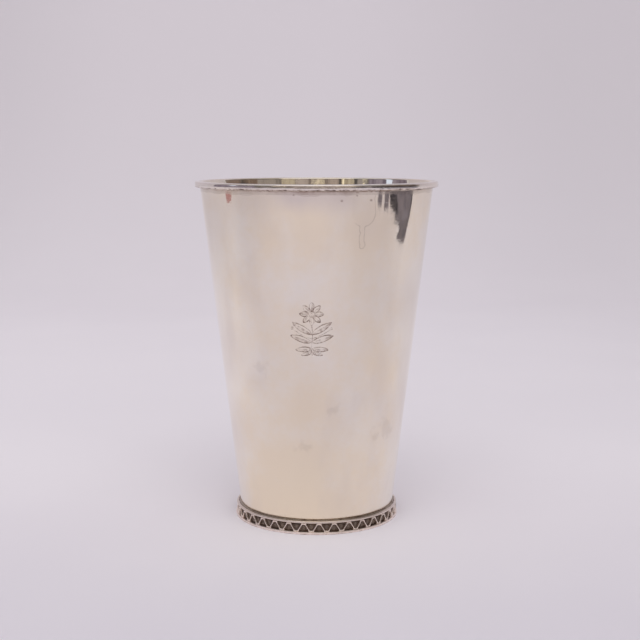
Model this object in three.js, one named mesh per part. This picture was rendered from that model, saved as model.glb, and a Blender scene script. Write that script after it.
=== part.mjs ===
// Tapered silver beaker: a sheet wall with a let-in floor, a wire applied round the lip, and a foot
// trimmed with a zigzag wire held between two plain wires on a collar.
// Millimetres, +Z up. The origin is the centre of the foot, on the surface that the beaker stands on.

import * as THREE from "three";

// Sheet body. Radii are taken on the outside of the wall, at the table and at the lip.
const HEIGHT = 120;
const WALL_FOOT_RADIUS = 27;
const WALL_LIP_RADIUS = 41.2;
const WALL_THICKNESS = 0.8;
const WALL_LIFT = 0.4; // lower edge of the sheet above the table
const LIP_ROUND = 0.6; // softened inner edge, where the lip meets the mouth

// Floor, let in from below and domed a little so that it doesn't drum
const FLOOR_LIFT = 2.5;
const FLOOR_THICKNESS = 0.9;
const FLOOR_RISE = 0.8;

// Wire applied round the outside of the lip
const RIM_WIRE_WIDTH = 1.55;
const RIM_WIRE_HEIGHT = 2.1;
const RIM_WIRE_NOSE = 1.2; // radial length of its rounded front

// Foot collar, and the two plain wires on it
const COLLAR_HEIGHT = 4.65;
const COLLAR_LEDGE = 0.45; // width of its upper edge, round the wall
const UPPER_WIRE_WIDTH = 0.8;
const UPPER_WIRE_HEIGHT = 0.8;
const UPPER_WIRE_NOSE = 0.45;
const LOWER_WIRE_WIDTH = 1.1;
const LOWER_WIRE_HEIGHT = 0.9;
const LOWER_WIRE_NOSE = 0.5;

// Zigzag wire between the plain wires
const WAVE_COUNT = 34;
const WAVE_PHASE = 1.7; // degrees that the top of the first wave lies to the right of the front
const FLAT_LENGTH = 0.55; // straight length that lies along a plain wire, between two bends
const BEND_INSIDE = 0.32; // radius of the inside of each bend
const ZIGZAG_WIDTH = 0.45;
const ZIGZAG_DEPTH = 0.72;

// Fits and facets
const SOLDER_GAP = 0.1; // film of solder between two joined pieces
const SEGMENTS = 90; // facets round the beaker
const CURVE_STEPS = 3; // facets on each quarter turn of a revolved curve
const BEND_STEPS = 1; // facets on each half of a bend of the zigzag
const SECTION_STEPS = 2; // facets on each quarter turn of the zigzag's section

const FRONT = -Math.PI / 2; // the front of the beaker looks along -Y
const degrees = THREE.MathUtils.degToRad;

// The wall's taper, and its outer and inner radius at any height
const TAPER = (WALL_LIP_RADIUS - WALL_FOOT_RADIUS) / HEIGHT;
const wallOutside = (z) => WALL_FOOT_RADIUS + TAPER * z;
const wallInside = (z) => wallOutside(z) - WALL_THICKNESS;

// The collar lies round the wall, and the foot wires' flat backs lie on the collar.
const COLLAR_RADIUS = wallOutside(COLLAR_HEIGHT) + SOLDER_GAP + COLLAR_LEDGE;
const WIRE_BACK = COLLAR_RADIUS + SOLDER_GAP;

// Materials: bright silver, the same metal on the drawn wires, and blackened silver behind the zigzag
const polishedSilver = new THREE.MeshStandardMaterial({ color: 0xddd2c6, roughness: 0.18, metalness: 1 });
const wireSilver = new THREE.MeshStandardMaterial({ color: 0xd8ccbf, roughness: 0.25, metalness: 1 });
const oxidisedSilver = new THREE.MeshStandardMaterial({ color: 0x4a3f38, roughness: 0.5, metalness: 1 });

// Revolves a profile path, drawn with x as radius and y as height, about the beaker's axis.
function revolve(profile) {
  const points = profile.getPoints(CURVE_STEPS);
  return new THREE.LatheGeometry(points, SEGMENTS).rotateX(Math.PI / 2);
}

// A drawn wire bent into a ring: a flat back that follows backRadius(z), and a rounded nose outside.
function wireRing({ backRadius, bottom, height, outside, nose }) {
  const top = bottom + height;
  const shoulder = outside - nose;
  const profile = new THREE.Path();
  profile.moveTo(backRadius(bottom), bottom);
  profile.lineTo(shoulder, bottom);
  profile.absellipse(shoulder, bottom + height / 2, nose, height / 2, -Math.PI / 2, Math.PI / 2, false);
  profile.lineTo(backRadius(top), top);
  profile.closePath();
  return revolve(profile);
}

function bodyWall() {
  const profile = new THREE.Path();
  profile.moveTo(wallInside(WALL_LIFT), WALL_LIFT);
  profile.lineTo(wallOutside(WALL_LIFT), WALL_LIFT);
  profile.lineTo(wallOutside(HEIGHT), HEIGHT);
  profile.lineTo(wallInside(HEIGHT) + LIP_ROUND, HEIGHT);
  profile.quadraticCurveTo(
    wallInside(HEIGHT), HEIGHT,
    wallInside(HEIGHT - LIP_ROUND), HEIGHT - LIP_ROUND,
  );
  profile.closePath();
  return revolve(profile);
}

function floorDisc() {
  const edge = (z) => wallInside(z) - SOLDER_GAP;
  const top = FLOOR_LIFT + FLOOR_THICKNESS;
  const profile = new THREE.Path();
  profile.moveTo(0, FLOOR_LIFT + FLOOR_RISE);
  profile.quadraticCurveTo(edge(FLOOR_LIFT) / 2, FLOOR_LIFT + FLOOR_RISE, edge(FLOOR_LIFT), FLOOR_LIFT);
  profile.lineTo(edge(top), top);
  profile.quadraticCurveTo(edge(top) / 2, top + FLOOR_RISE, 0, top + FLOOR_RISE);
  return revolve(profile);
}

function rimWire() {
  const bottom = HEIGHT - RIM_WIRE_HEIGHT;
  const backRadius = (z) => wallOutside(z) + SOLDER_GAP;
  return wireRing({
    backRadius,
    bottom,
    height: RIM_WIRE_HEIGHT,
    outside: backRadius(HEIGHT) + RIM_WIRE_WIDTH,
    nose: RIM_WIRE_NOSE,
  });
}

function footCollar() {
  const profile = new THREE.Path();
  profile.moveTo(wallOutside(0) + SOLDER_GAP, 0);
  profile.lineTo(COLLAR_RADIUS, 0);
  profile.lineTo(COLLAR_RADIUS, COLLAR_HEIGHT);
  profile.lineTo(wallOutside(COLLAR_HEIGHT) + SOLDER_GAP, COLLAR_HEIGHT);
  profile.closePath();
  return revolve(profile);
}

function upperFootWire() {
  return wireRing({
    backRadius: () => WIRE_BACK,
    bottom: COLLAR_HEIGHT - UPPER_WIRE_HEIGHT,
    height: UPPER_WIRE_HEIGHT,
    outside: WIRE_BACK + UPPER_WIRE_WIDTH,
    nose: UPPER_WIRE_NOSE,
  });
}

function lowerFootWire() {
  return wireRing({
    backRadius: () => WIRE_BACK,
    bottom: 0,
    height: LOWER_WIRE_HEIGHT,
    outside: WIRE_BACK + LOWER_WIRE_WIDTH,
    nose: LOWER_WIRE_NOSE,
  });
}

// One wave of the zigzag on the unrolled collar, x along the band and y up, from the middle of one
// upper flat to the middle of the next. Each leg is the line that touches an upper and a lower bend.
function zigzagWave(pitch) {
  const bend = BEND_INSIDE + ZIGZAG_WIDTH / 2;
  const margin = SOLDER_GAP + ZIGZAG_WIDTH / 2 + bend; // from a plain wire to the centre of a bend
  const upper = COLLAR_HEIGHT - UPPER_WIRE_HEIGHT - margin;
  const lower = LOWER_WIRE_HEIGHT + margin;
  const flat = FLAT_LENGTH / 2;
  const between = new THREE.Vector2(pitch / 2 - FLAT_LENGTH, upper - lower);
  const slope = between.angle() + Math.asin((2 * bend) / between.length());
  const level = Math.PI / 2 - slope; // where on its circle an upper bend passes into a leg

  const wave = new THREE.Path();
  wave.moveTo(0, upper + bend);
  wave.absarc(flat, upper, bend, Math.PI / 2, level, true);
  wave.absarc(pitch / 2 - flat, lower, bend, Math.PI + level, (3 * Math.PI) / 2, false);
  wave.absarc(pitch / 2 + flat, lower, bend, -Math.PI / 2, -level, false);
  wave.absarc(pitch - flat, upper, bend, Math.PI - level, Math.PI / 2, true);
  return wave.getPoints(BEND_STEPS).slice(1); // the middle of a flat needs no vertex
}

// The wire's section: across the wire and outwards from its flat back, with softened front edges
function zigzagSection() {
  const half = ZIGZAG_WIDTH / 2;
  const section = new THREE.Path();
  section.moveTo(half, 0);
  section.lineTo(half, ZIGZAG_DEPTH - half);
  section.absarc(0, ZIGZAG_DEPTH - half, half, 0, Math.PI, false);
  section.lineTo(-half, 0);
  return section.getPoints(SECTION_STEPS);
}

// Sweeps the section along every wave and wraps the closed band round the collar.
function zigzagWire() {
  const middle = WIRE_BACK + ZIGZAG_DEPTH / 2; // where the unrolled band keeps its length
  const pitch = (2 * Math.PI * middle) / WAVE_COUNT;
  const section = zigzagSection();
  const path = [];
  for (let wave = 0; wave < WAVE_COUNT; wave++) {
    for (const point of zigzagWave(pitch)) path.push(point.clone().setX(point.x + wave * pitch));
  }

  const bandLength = pitch * WAVE_COUNT;
  const heading = (from, to) => {
    const run = to.x - from.x;
    const wrapped = run - bandLength * Math.round(run / bandLength);
    return new THREE.Vector2(wrapped, to.y - from.y).normalize();
  };
  const positions = [];
  path.forEach((point, i) => {
    const before = heading(path.at(i - 1), point);
    const after = heading(point, path[(i + 1) % path.length]);
    const along = before.clone().add(after).normalize();
    const mitre = 1 / along.dot(after);
    for (const { x: across, y: out } of section) {
      const x = point.x - along.y * across * mitre;
      const z = point.y + along.x * across * mitre;
      const angle = FRONT + degrees(WAVE_PHASE) + x / middle;
      const radius = WIRE_BACK + out;
      positions.push(radius * Math.cos(angle), radius * Math.sin(angle), z);
    }
  });

  const indices = [];
  const sides = section.length;
  for (let ring = 0; ring < path.length; ring++) {
    const next = (ring + 1) % path.length;
    for (let side = 0; side < sides; side++) {
      const turn = (side + 1) % sides;
      const [a, b] = [ring * sides + side, ring * sides + turn];
      const [c, d] = [next * sides + turn, next * sides + side];
      indices.push(a, b, c, a, c, d);
    }
  }
  const geometry = new THREE.BufferGeometry();
  geometry.setAttribute("position", new THREE.Float32BufferAttribute(positions, 3));
  geometry.setIndex(indices);
  geometry.computeVertexNormals();
  return geometry;
}

function piece(name, geometry, material) {
  const mesh = new THREE.Mesh(geometry, material);
  mesh.name = name;
  return mesh;
}

const beaker = new THREE.Group();
beaker.add(
  piece("body_wall", bodyWall(), polishedSilver),
  piece("floor_disc", floorDisc(), polishedSilver),
  piece("rim_wire", rimWire(), wireSilver),
  piece("foot_collar", footCollar(), oxidisedSilver),
  piece("upper_foot_wire", upperFootWire(), wireSilver),
  piece("zigzag_wire", zigzagWire(), wireSilver),
  piece("lower_foot_wire", lowerFootWire(), wireSilver),
);

export default beaker;
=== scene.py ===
"""The looks of a tapered silver beaker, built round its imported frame.

Every metal piece is a fine smooth mesh that stands for one solid of the frame, except for two fillets of
solder, which are the scene's own. Metres, +Z up, and the beaker's front looks along -Y. An angle round the
beaker is measured from the front towards +X.
"""

import math
from functools import partialmethod

import bpy
import numpy as np
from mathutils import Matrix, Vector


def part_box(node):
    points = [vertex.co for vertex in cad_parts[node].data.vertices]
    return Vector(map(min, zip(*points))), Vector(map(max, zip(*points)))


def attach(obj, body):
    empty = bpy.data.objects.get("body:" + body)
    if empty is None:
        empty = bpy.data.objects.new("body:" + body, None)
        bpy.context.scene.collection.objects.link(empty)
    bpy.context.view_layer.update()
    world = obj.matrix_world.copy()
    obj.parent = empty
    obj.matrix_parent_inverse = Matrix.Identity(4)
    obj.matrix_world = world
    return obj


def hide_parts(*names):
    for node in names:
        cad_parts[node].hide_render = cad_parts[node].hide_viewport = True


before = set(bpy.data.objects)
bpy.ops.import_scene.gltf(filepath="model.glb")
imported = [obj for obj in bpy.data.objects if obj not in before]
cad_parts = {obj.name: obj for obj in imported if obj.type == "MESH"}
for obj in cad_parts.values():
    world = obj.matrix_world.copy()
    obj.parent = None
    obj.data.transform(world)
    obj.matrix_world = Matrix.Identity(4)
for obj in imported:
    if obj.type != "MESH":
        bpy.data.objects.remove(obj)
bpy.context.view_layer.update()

MM = 0.001

# Photograph's camera, found by fitting it to the edges of the beaker
FRAME_PIXELS = 640
FOCAL_PIXELS = 1254.6
AXIS_PIXEL = 316.54  # column of the beaker's axis
CAMERA_DISTANCE = 444.93 * MM
CAMERA_HEIGHT = 133.64 * MM
CAMERA_PITCH = 8.093  # degrees below level
SENSOR = 36.0  # millimetres across


# Sizes read from the frame

SAME_HEIGHT = 0.01 * MM


def ring_radii(node, z):
    """Least and greatest radius of a solid's corners at height z."""
    corners = np.array([v.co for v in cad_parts[node].data.vertices])
    level = corners[np.abs(corners[:, 2] - z) < SAME_HEIGHT]
    radii = np.hypot(level[:, 0], level[:, 1])
    return radii.min(), radii.max()


def span(node):
    """Lowest height, highest height and outer radius of a solid, inside its facets."""
    low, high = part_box(node)
    return low.z, high.z, min(high.x, high.y)


WALL_BOTTOM, HEIGHT, LIP_RADIUS = span("body_wall")
FOOT_INSIDE, FOOT_OUTSIDE = ring_radii("body_wall", WALL_BOTTOM)
WALL_THICKNESS = FOOT_OUTSIDE - FOOT_INSIDE
TAPER = (LIP_RADIUS - FOOT_OUTSIDE) / (HEIGHT - WALL_BOTTOM)
RIM_BOTTOM, RIM_TOP, RIM_OUTSIDE = span("rim_wire")
COLLAR_BOTTOM, COLLAR_TOP, COLLAR_OUTSIDE = span("foot_collar")
UPPER_BOTTOM = span("upper_foot_wire")[0]
LOWER_TOP = span("lower_foot_wire")[1]
ZIGZAG_OUTSIDE = span("zigzag_wire")[2]
FLOOR_BOTTOM, FLOOR_TOP, FLOOR_EDGE = span("floor_disc")


def outside(z):
    """Outer radius of the wall at a height."""
    return FOOT_OUTSIDE + TAPER * (z - WALL_BOTTOM)


def inside(z):
    """Inner radius of the wall at a height."""
    return outside(z) - WALL_THICKNESS


LIP_ROUND = ring_radii("body_wall", HEIGHT)[0] - inside(HEIGHT)


# Mesh making

ROUND_STEPS = 360
SHARP_DEGREES = 50

# A ripple adds up sines that differ in count, climb and phase
RIPPLE_SINES = 5
SEED_TURN, SINE_TURN = 2.4, 1.9  # added for each seed and for each sine
FIRST_SINE, SINE_GROWTH = 0.6, 0.35  # shares of the waves asked for
WAVE_CLIMB, CLIMB_TURN, PHASE_TURN = 9.0, 3.1, 5.3
RIPPLE_PEAK = 2.6  # which brings the sum to about -1 to 1


def even_angles(steps=ROUND_STEPS):
    return np.arange(steps) * (2 * math.pi / steps)


def ease(value, start, end):
    """0 before start, 1 after end and smooth between, for start below or above end."""
    share = np.clip((value - start) / (end - start), 0, 1)
    return share * share * (3 - 2 * share)


def ripple(angle, height, waves, seed):
    """A seamless wandering value of about -1 to 1 over the wall, with about that many waves round it."""
    total = 0.0
    for step in range(RIPPLE_SINES):
        turn = seed * SEED_TURN + step * SINE_TURN
        count = round(waves * (FIRST_SINE + SINE_GROWTH * step))
        climb = waves * WAVE_CLIMB * math.sin(turn * CLIMB_TURN)
        total = total + np.sin(count * angle + climb * height + turn * PHASE_TURN)
    return total / RIPPLE_PEAK


def add_object(name, data):
    thing = bpy.data.objects.new(name, data)
    bpy.context.scene.collection.objects.link(thing)
    return thing


def smooth_mesh(name, points, faces, material):
    mesh = bpy.data.meshes.new(name)
    mesh.from_pydata(np.asarray(points).tolist(), [], faces)
    mesh.polygons.foreach_set("use_smooth", [True] * len(mesh.polygons))
    mesh.materials.append(material)
    return mesh


def mesh_piece(name, points, faces, tarnish, node, material):
    """A smooth piece that rides on the beaker and stands for a solid of the frame, unless node is None.

    tarnish is each point's share of dirt and darkening, in places painted shade or painted light, which the
    materials read.
    """
    mesh = smooth_mesh(name, points, faces, material)
    mesh.set_sharp_from_angle(angle=math.radians(SHARP_DEGREES))
    layer = mesh.attributes.new("tarnish", "FLOAT", "POINT")
    layer.data.foreach_set("value", np.asarray(tarnish, np.float32))
    piece = add_object(name, mesh)
    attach(piece, "root")
    if node:
        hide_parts(node)


def ring_faces(columns, rows):
    """Quads of a closed ring: columns round the beaker, rows round its closed section."""
    faces = []
    for column in range(columns):
        here, there = column * rows, (column + 1) % columns * rows
        for row in range(rows):
            above = (row + 1) % rows
            faces.append((here + row, there + row, there + above, here + above))
    return faces


def ring_points(angles, radius, height):
    """Points of a ring, column by column, from radii and heights that may differ from angle to angle."""
    turn = angles[:, None]
    points = np.stack([radius * np.sin(turn), -radius * np.cos(turn), height + 0 * turn], axis=-1)
    return points.reshape(-1, 3)


# Engraved ornament: a flower on a leafy stem, drawn in millimetres about its centre

ORNAMENT_ANGLE = math.radians(-2.55)
ORNAMENT_HEIGHT = 71.9 * MM
HALF_WIDTH, HALF_HEIGHT = 7.9, 9.9
CUT_GRID = 0.1
CUT_DEPTH = 0.065 * MM
CUT_TARNISH = 0.66
OUTLINE = 0.24  # half of a cut's width
HATCH = 0.19  # half of a finer cut's
HATCH_PITCH = 0.45
HATCH_LEAN = 2  # points of the leaf's edge
LEAF_NEAR, LEAF_FAR = 0.25, 0.75  # shares of a leaf's length at which its edges are drawn outwards
LEAF_TAPER = 0.8  # its width at the far one
FLOWER = (0.0, 5.6)
PETALS, PETAL_START, PETAL_LENGTH, PETAL_WIDTH = 8, 0.95, 3.0, 1.15
FLOWER_RINGS = [(0.85, OUTLINE), (0.35, HATCH)]
STEM = [(0.0, 1.6), (0.7, -2.5), (-0.6, -5.5), (0.1, -8.4)]
LEAVES = [  # base, heading in degrees, length, width and curl of those on the right
    ((0.1, -1.3), 36, 7.5, 1.45, -0.5),
    ((0.1, -3.9), 10, 7.3, 1.45, 0.8),
    ((0.1, -6.2), -12, 5.4, 1.2, 0.7),
    ((0.1, -7.4), -24, 3.6, 0.8, 0.5),
]
STALK = [(0.2, -2.7), (3.4, -1.8), (6.2, 0.4)]
BERRY, BERRY_RADIUS = (6.6, 0.7), 0.26


def bezier(*controls, steps=20):
    """Points along a Bezier curve from its first control to its last."""
    share = np.linspace(0, 1, steps + 1)[:, None]
    points = [share * 0 + np.asarray(control, float) for control in controls]
    while len(points) > 1:
        points = [(1 - share) * a + share * b for a, b in zip(points, points[1:])]
    return points[0]


def heading(degrees):
    return np.array([math.cos(math.radians(degrees)), math.sin(math.radians(degrees))])


def circle(centre, radius, steps=30):
    """Points round a circle, the last on the first."""
    return np.array([centre + radius * heading(360 * share) for share in np.linspace(0, 1, steps + 1)])


def leaf_cuts(base, degrees, length, width, curl=0.0):
    """Outline, midrib and one hatched half of a leaf that grows from base and bends aside by curl."""
    along = heading(degrees)
    across = np.array([-along[1], along[0]])
    base = np.asarray(base, float)
    edges = []
    for side in (1, -1):
        near = base + along * LEAF_NEAR * length + across * side * width
        far = base + along * LEAF_FAR * length + across * (side * LEAF_TAPER * width + curl)
        edges.append(bezier(base, near, far, base + along * length + across * curl))
    upper, lower = edges
    midrib = (upper + lower) / 2
    cuts = [(upper, OUTLINE), (lower, OUTLINE), (midrib, HATCH)]
    step = max(1, round(HATCH_PITCH * len(midrib) / length))
    for place in range(step, len(midrib) - HATCH_LEAN - 1, step):
        cuts.append((np.array([midrib[place], lower[place + HATCH_LEAN]]), HATCH))
    return cuts


def ornament_cuts():
    """Every cut of the ornament as (points, half width)."""
    flower = np.array(FLOWER)
    cuts = [(circle(flower, radius), width) for radius, width in FLOWER_RINGS]
    for petal in range(PETALS):
        degrees = 90 + 360 / PETALS * petal
        cuts += leaf_cuts(flower + PETAL_START * heading(degrees), degrees, PETAL_LENGTH, PETAL_WIDTH)
    cuts.append((bezier(*STEM), OUTLINE))
    half = [cut for leaf in LEAVES for cut in leaf_cuts(*leaf)]
    half += [(bezier(*STALK), HATCH), (circle(np.array(BERRY), BERRY_RADIUS), OUTLINE)]
    for side in (1, -1):
        cuts += [(points * (side, 1.0), width) for points, width in half]
    return cuts


def cut_share(places):
    """How deep each place of the ornament's plane lies in a cut, from 0 on the surface to 1."""
    share = np.zeros(len(places))
    for points, width in ornament_cuts():
        for start, end in zip(points, points[1:]):
            way = end - start
            reach = np.abs(way) + width
            near = np.flatnonzero(np.all(np.abs(places - (start + end) / 2) < reach, axis=1))
            offset = places[near] - start
            along = np.clip((offset @ way) / (way @ way), 0, 1)
            distance = np.linalg.norm(offset - along[:, None] * way, axis=1)
            depth = (width / OUTLINE) * np.clip(1 - distance / width, 0, 1)
            share[near] = np.maximum(share[near], depth)
    return share


# Materials

class Tree:
    """A short way to write a material's nodes."""

    def __init__(self, name):
        self.material = bpy.data.materials.new(name)
        self.material.use_nodes = True
        self.nodes = self.material.node_tree.nodes
        self.links = self.material.node_tree.links
        self.shader = self.nodes["Principled BSDF"]
        self.place = self.add("TexCoord").outputs["Object"]

    def add(self, kind, settings=(), **inputs):
        """A shader node with inputs fed by name, or by number where a key is an underscore and a number."""
        node = self.nodes.new("ShaderNode" + kind)
        for key, value in dict(settings).items():
            setattr(node, key, value)
        for key, value in inputs.items():
            self.feed(node.inputs[int(key[1:]) if key[1:].isdigit() else key], value)
        return node

    def feed(self, socket, value):
        if isinstance(value, bpy.types.NodeSocket):
            self.links.new(value, socket)
        elif socket.type == "RGBA":
            socket.default_value = (*value, 1.0)
        else:
            socket.default_value = value

    def math(self, operation, first, second=0.0, third=0.0):
        return self.add("Math", {"operation": operation}, _0=first, _1=second, _2=third).outputs[0]

    times = partialmethod(math, "MULTIPLY")
    plus = partialmethod(math, "ADD")
    minus = partialmethod(math, "SUBTRACT")
    most = partialmethod(math, "MAXIMUM")
    least = partialmethod(math, "MINIMUM")
    size = partialmethod(math, "ABSOLUTE")

    def length(self, first, second):
        return self.math("SQRT", self.plus(self.times(first, first), self.times(second, second)))

    def noise(self, feature, detail=3.0, stretch=(1, 1, 1), offset=0.0):
        """Noise of about 0 to 1 whose features measure that many metres, drawn out by stretch."""
        scale = tuple(1 / (feature * side) for side in stretch)
        placed = self.add("Mapping", _0=self.place, _1=(offset, offset, offset), _3=scale)
        return self.add("TexNoise", Vector=placed.outputs[0], Scale=1.0, Detail=detail).outputs[0]

    def between(self, value, limits, results=(0.0, 1.0)):
        """value over its limits, which may run downwards, mapped smoothly to the results."""
        node = self.add("MapRange", {"interpolation_type": "SMOOTHSTEP"}, Value=value)
        for socket, number in zip(node.inputs[1:5], (*limits, *results)):
            socket.default_value = number
        return node.outputs[0]

    def mix(self, share, first, second):
        return self.add("Mix", {"data_type": "RGBA"}, _0=share, _6=first, _7=second).outputs[2]

    def bump(self, height, distance, normal=None):
        node = self.add("Bump", Height=height, Distance=distance)
        if normal:
            self.links.new(normal, node.inputs["Normal"])
        return node.outputs[0]

    def attribute(self, name):
        return self.add("Attribute", {"attribute_name": name}).outputs["Fac"]

    def set(self, **sockets):
        """Feeds sockets of the shader, named with underscores for spaces."""
        for name, value in sockets.items():
            self.feed(self.shader.inputs[name.replace("_", " ")], value)


# Finish of all the bright silver. A ramp is the limits of a value and the results at them
BROAD, PATCHY, FINE = 24 * MM, 8 * MM, 1.8 * MM
BROAD_SHARE, PATCHY_SHARE, FINE_SHARE = 0.42, 0.36, 0.22
COOL_TO_WARM = (0.24, 0.76)
GREY_HAZE = (0.78, 0.7, 0.63)
HAZE, HAZE_STRETCH, HAZE_RAMP = 15 * MM, (1, 1, 2.5), [(0.45, 0.75), (0.0, 0.35)]
BROWN_TARNISH, BROWN_MOST = (0.25, 0.152, 0.113), 0.9
BLACK_TARNISH, BLACK_RAMP = (0.06, 0.043, 0.037), [(0.7, 1.0), (0.0, 0.75)]
PATCHY_LIMITS, PATCHY_ROUGHNESS, PATCHY_DEPTH = (0.3, 0.75), 0.05, 0.02 * MM
WIPED, WIPED_STRETCH, WIPED_DEPTH = 0.35 * MM, (30, 30, 1), 0.0012 * MM
WIPED_ROUGHNESS = [(0.55, 0.75), (0.0, 0.03)]
RUBBED, RUBBED_STRETCH, RUBBED_DEPTH = 0.5 * MM, (1, 1, 25), 0.0008 * MM
STAIN_ROUGHNESS = 0.3
SPECK, SPECK_RAMP = 1.1 * MM, [(0.3, 0.7), (-0.22, 0.22)]
RAGGED_LIMITS, CLEAN_LIMITS = (0.1, 0.9), (0.0, 0.12)


def finish_silver(tree, cool, warm, warmth, smoky, stain, roughness, satin=0.0):
    """Silver mottled between two tints, greyed by smoky and darkened by stain, with wiping hairlines.
    Besides real haze and tarnish, smoky carries painted reflection on the wall, and stain carries painted
    shade under the rim and along the foot.
    """
    broad = tree.times(tree.noise(BROAD, detail=2.0, offset=3.1), BROAD_SHARE)
    patchy = tree.noise(PATCHY, detail=4.0, offset=8.7)
    fine = tree.times(tree.noise(FINE, detail=4.0, offset=6.3), FINE_SHARE)
    patina = tree.plus(tree.plus(broad, tree.times(patchy, PATCHY_SHARE)), fine)
    colour = tree.mix(tree.between(tree.plus(patina, warmth), COOL_TO_WARM), cool, warm)
    haze = tree.noise(HAZE, stretch=HAZE_STRETCH, offset=11.0)
    haze = tree.plus(tree.between(haze, *HAZE_RAMP), smoky)
    colour = tree.mix(haze, colour, GREY_HAZE)
    colour = tree.mix(tree.times(stain, BROWN_MOST), colour, BROWN_TARNISH)
    colour = tree.mix(tree.between(stain, *BLACK_RAMP), colour, BLACK_TARNISH)

    # Hairlines run mostly round the beaker, where it has been turned and wiped
    wiped = tree.noise(WIPED, detail=2.0, stretch=WIPED_STRETCH, offset=5.0)
    rubbed = tree.noise(RUBBED, detail=2.0, stretch=RUBBED_STRETCH, offset=2.0)
    normal = tree.bump(wiped, WIPED_DEPTH)
    normal = tree.bump(rubbed, RUBBED_DEPTH, normal)
    normal = tree.bump(patchy, PATCHY_DEPTH, normal)
    rough = tree.between(patchy, PATCHY_LIMITS, (roughness, roughness + PATCHY_ROUGHNESS))
    rough = tree.plus(rough, tree.between(wiped, *WIPED_ROUGHNESS))
    rough = tree.plus(tree.plus(rough, tree.times(stain, STAIN_ROUGHNESS)), satin)
    tree.set(Base_Color=colour, Metallic=1.0, Roughness=rough, Normal=normal)
    return tree.material


def ragged_tarnish(tree):
    """The mesh's own tarnish, painted shade included, with an edge broken up by fine noise."""
    tarnish = tree.attribute("tarnish")
    speck = tree.between(tree.noise(SPECK, offset=1.3), *SPECK_RAMP)
    ragged = tree.between(tree.plus(tarnish, speck), RAGGED_LIMITS)
    return tree.times(ragged, tree.between(tarnish, CLEAN_LIMITS))


# Marks on the wall, each with its angle in degrees and its height and radius in millimetres
SPOTS = [(-10.6, 116.5, 0.25), (11.6, 114.7, 0.3), (18.9, 116.5, 0.25), (26.1, 114.9, 0.35),
         (-12.8, 73.0, 0.25)]
SMUDGES = [(-33.7, 57.9, 2.0), (9.6, 44.3, 1.2), (-7.4, 30.9, 1.4), (39.9, 32.7, 2.4), (49.8, 35.7, 2.8)]
WARM_CLOUDS = [(-19, 6.0, 15.0), (-14, 24.0, 10.0), (-8, 42.0, 6.0), (-2, 104.0, 8.0), (-22, 102.0, 5.0),
               (24, 104.0, 6.0), (38, 58.0, 5.0)]
# Pale and grey clouds are haze and painted reflection, lighter or darker where the wall mirrors lighter or
# darker surroundings
PALE_HAZE_AND_REFLECTION = [(-36, 104.0, 7.0), (-20, 92.0, 9.0), (-14, 110.0, 4.0), (17, 84.0, 6.0), (12, 58.0, 8.0)]
GREY_HAZE_AND_REFLECTION = [(-64, 62.0, 10.0), (-55, 108.0, 9.0), (25, 106.0, 4.0), (58, 80.0, 8.0), (-40, 53.0, 3.0),
               (64, 38.0, 10.0), (-63, 36.0, 9.0)]
FAR_AWAY = 1.0  # further than any mark
WANDER, WANDER_RAMP = 2.5 * MM, [(0.2, 0.8), (-0.3 * MM, 0.3 * MM)]
OUTER_HALF = (0.6, 0.4)  # depths in the wall, as shares of its thickness, where its outer side begins


class Wall(Tree):
    """The wall's material, which knows where on the wall a point lies."""

    def __init__(self, name):
        super().__init__(name)
        x, y, self.z = self.add("SeparateXYZ", _0=self.place).outputs
        radius = self.length(x, y)
        wander = self.between(self.noise(WANDER, offset=7.0), *WANDER_RAMP)
        self.turn = self.math("ARCTAN2", x, self.times(y, -1.0))
        self.across = self.plus(self.times(self.turn, radius), wander)
        self.height = self.plus(self.z, wander)
        skin = FOOT_OUTSIDE - TAPER * WALL_BOTTOM
        shell = self.minus(radius, self.times(self.z, TAPER))
        self.outer = self.between(shell, [skin - depth * WALL_THICKNESS for depth in OUTER_HALF])

    def mark(self, degrees, low, high, breadth):
        """Distance from the edge of an upright rounded mark, below 0 inside it."""
        aside = self.minus(self.across, math.radians(degrees) * outside(low * MM))
        nearest = self.least(self.most(self.height, low * MM), high * MM)
        above = self.minus(self.height, nearest)
        return self.minus(self.length(aside, above), breadth * MM)

    def nearest_of(self, marks):
        """Distance from the edge of the nearest of these round marks."""
        distance = FAR_AWAY
        for degrees, level, breadth in marks:
            distance = self.least(self.mark(degrees, level, level, breadth), distance)
        return distance


# A drink once ran down from a pool under the rim: angle in degrees, heights and radii in millimetres
DRIP_ANGLE = 22.5
POOL_RADIUS, POOL_LOW = 4.2, 110.5
TAIL_RADIUS, TAIL_LOW, TAIL_HIGH = 0.85, 100.0, 107.1
DRIP_BLEND = 1.0 * MM
DRIP_LINE = [(0.02 * MM, 0.26 * MM), (0.3, 0.0)]
DRIP_FADE = 1.0
DRIED = [(-0.4 * MM, 0.0), (0.03, 0.0)]


def drip_stain(wall):
    """The line round the dried drink, lost along the pool's left, and a faint stain inside it."""
    pool = wall.mark(DRIP_ANGLE, POOL_LOW, HEIGHT / MM, POOL_RADIUS)
    tail = wall.mark(DRIP_ANGLE, TAIL_LOW, TAIL_HIGH, TAIL_RADIUS)
    edge = wall.math("SMOOTH_MIN", pool, tail, DRIP_BLEND)
    line = wall.between(wall.size(edge), *DRIP_LINE)
    axis = math.radians(DRIP_ANGLE) * outside(POOL_LOW * MM)
    right = wall.between(wall.across, (axis - DRIP_FADE * MM, axis + DRIP_FADE * MM))
    low = wall.between(wall.z, ((TAIL_HIGH + DRIP_FADE) * MM, (TAIL_HIGH - DRIP_FADE) * MM))
    line = wall.times(line, wall.most(right, low))
    return wall.most(line, wall.between(edge, *DRIED))


SPOT_RAMP = [(-0.15 * MM, 0.35 * MM), (0.55, 0.0)]
SMEAR, SMEAR_RAMP = 3.5 * MM, [(0.25, 0.75), (-2.2 * MM, 2.2 * MM)]
SMUDGE_RAMP = [(-2.0 * MM, 1.5 * MM), (0.12, 0.0)]


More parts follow.
